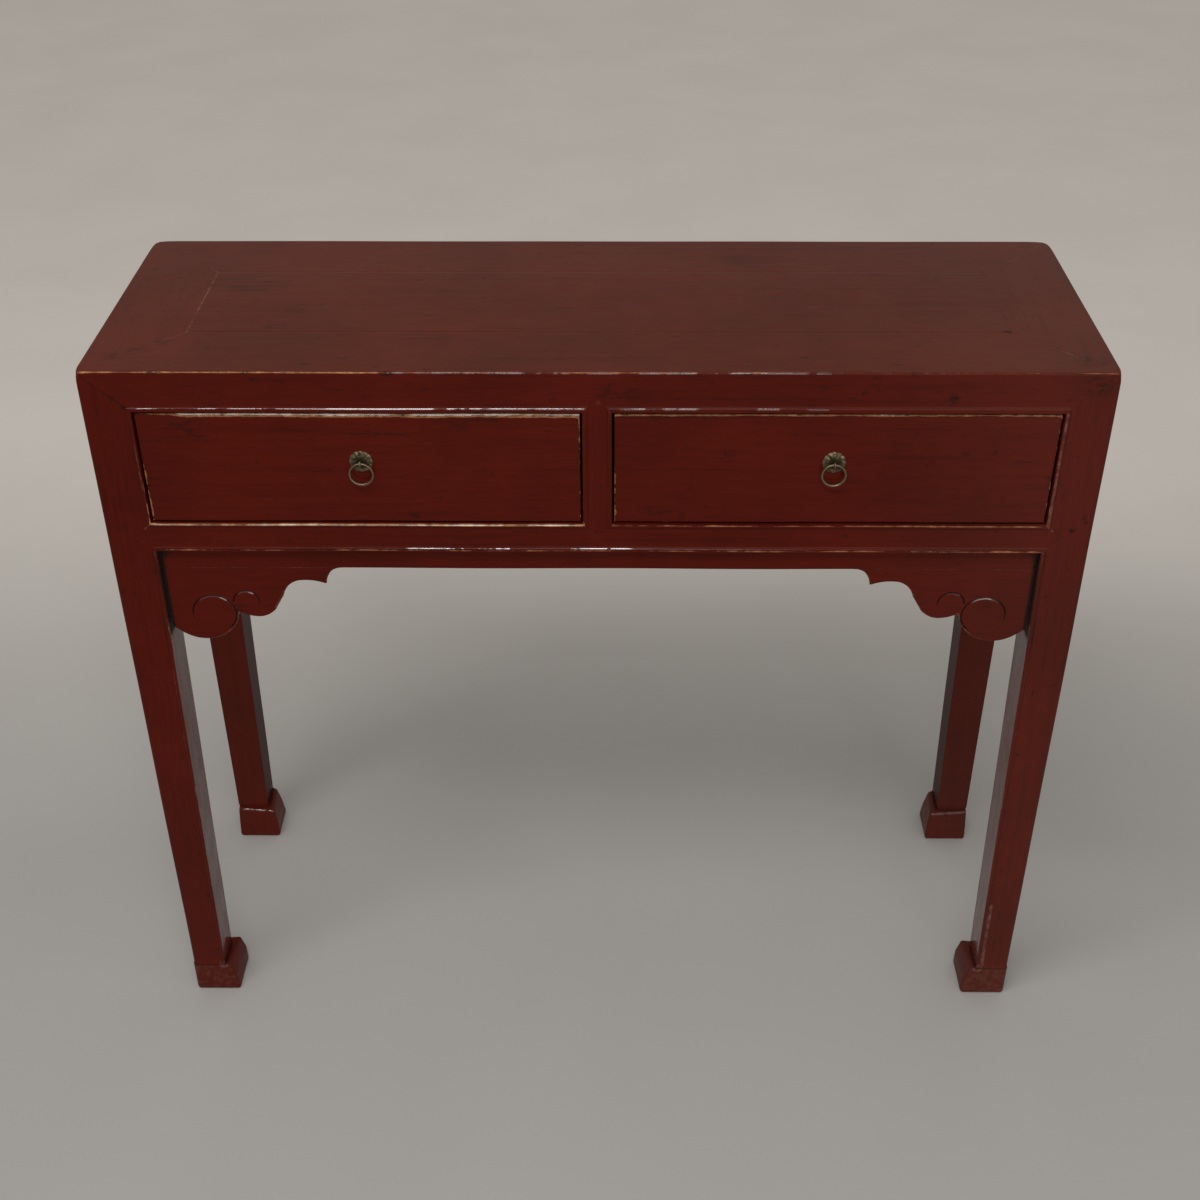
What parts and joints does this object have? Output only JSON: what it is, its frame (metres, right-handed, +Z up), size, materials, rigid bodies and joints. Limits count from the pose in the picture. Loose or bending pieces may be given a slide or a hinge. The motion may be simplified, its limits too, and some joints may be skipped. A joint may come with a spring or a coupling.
{
  "type": "console table",
  "caption": "Lacquered console table with mitred top, drawers with ring pulls, a scrolled apron and hoof feet.",
  "frame": {"origin": "on the floor under the middle of the whole table, ring pulls included", "axes": "+X along the table to the right seen from the front, -Y out of the front with the drawers, +Z up"},
  "size_m": [1.042, 0.3537, 0.882],
  "materials": {
    "lacquered_wood": "glossy dark red lacquer, worn at the edges",
    "lacquered_top": "satin dark red lacquer with grain showing",
    "bare_wood": "plain aged wood",
    "aged_brass": "dark patina, rubbed bright on the rims"
  },
  "bodies": {
    "table": {"back_left_leg": "lacquered_wood", "back_lower_rail": "lacquered_wood", "back_panel": "bare_wood", "back_right_leg": "lacquered_wood", "centre_batten": "bare_wood", "centre_bearer": "bare_wood", "centre_guide": "bare_wood", "centre_stile": "lacquered_wood", "drawer_rail": "lacquered_wood", "front_apron": "lacquered_wood", "front_left_leg": "lacquered_wood", "front_right_leg": "lacquered_wood", "left_apron": "lacquered_wood", "left_batten": "bare_wood", "left_guide": "bare_wood", "left_lower_rail": "lacquered_wood", "left_runner": "bare_wood", "left_side_panel": "lacquered_wood", "left_spandrel": "lacquered_wood", "left_stop": "bare_wood", "right_apron": "lacquered_wood", "right_batten": "bare_wood", "right_guide": "bare_wood", "right_lower_rail": "lacquered_wood", "right_runner": "bare_wood", "right_side_panel": "lacquered_wood", "right_spandrel": "lacquered_wood", "right_stop": "bare_wood", "top_back_rail": "lacquered_top", "top_front_rail": "lacquered_top", "top_left_end_rail": "lacquered_top", "top_panel": "lacquered_top", "top_right_end_rail": "lacquered_top"},
    "left_drawer": {"left_drawer_back": "bare_wood", "left_drawer_bottom": "bare_wood", "left_drawer_front": "lacquered_wood", "left_drawer_inner_side": "bare_wood", "left_drawer_outer_side": "bare_wood", "left_pull_pin": "aged_brass", "left_pull_plate": "aged_brass"},
    "right_drawer": {"right_drawer_back": "bare_wood", "right_drawer_bottom": "bare_wood", "right_drawer_front": "lacquered_wood", "right_drawer_inner_side": "bare_wood", "right_drawer_outer_side": "bare_wood", "right_pull_pin": "aged_brass", "right_pull_plate": "aged_brass"},
    "left_ring": {"left_pull_ring": "aged_brass"},
    "right_ring": {"right_pull_ring": "aged_brass"}
  },
  "joints": [
    {"name": "left_drawer_slide", "type": "slide", "parent": "table", "child": "left_drawer", "axis": [0, -1, 0], "range_m": [0, 0.22]},
    {"name": "left_ring_swing", "type": "hinge", "parent": "left_drawer", "child": "left_ring", "pos_m": [-0.2425, -0.17305, 0.7804], "axis": [-1, 0, 0], "range_deg": [-10, 190]},
    {"name": "right_drawer_slide", "type": "slide", "parent": "table", "child": "right_drawer", "axis": [0, -1, 0], "range_m": [0, 0.22]},
    {"name": "right_ring_swing", "type": "hinge", "parent": "right_drawer", "child": "right_ring", "pos_m": [0.2425, -0.17305, 0.7804], "axis": [-1, 0, 0], "range_deg": [-10, 190]}
  ]
}
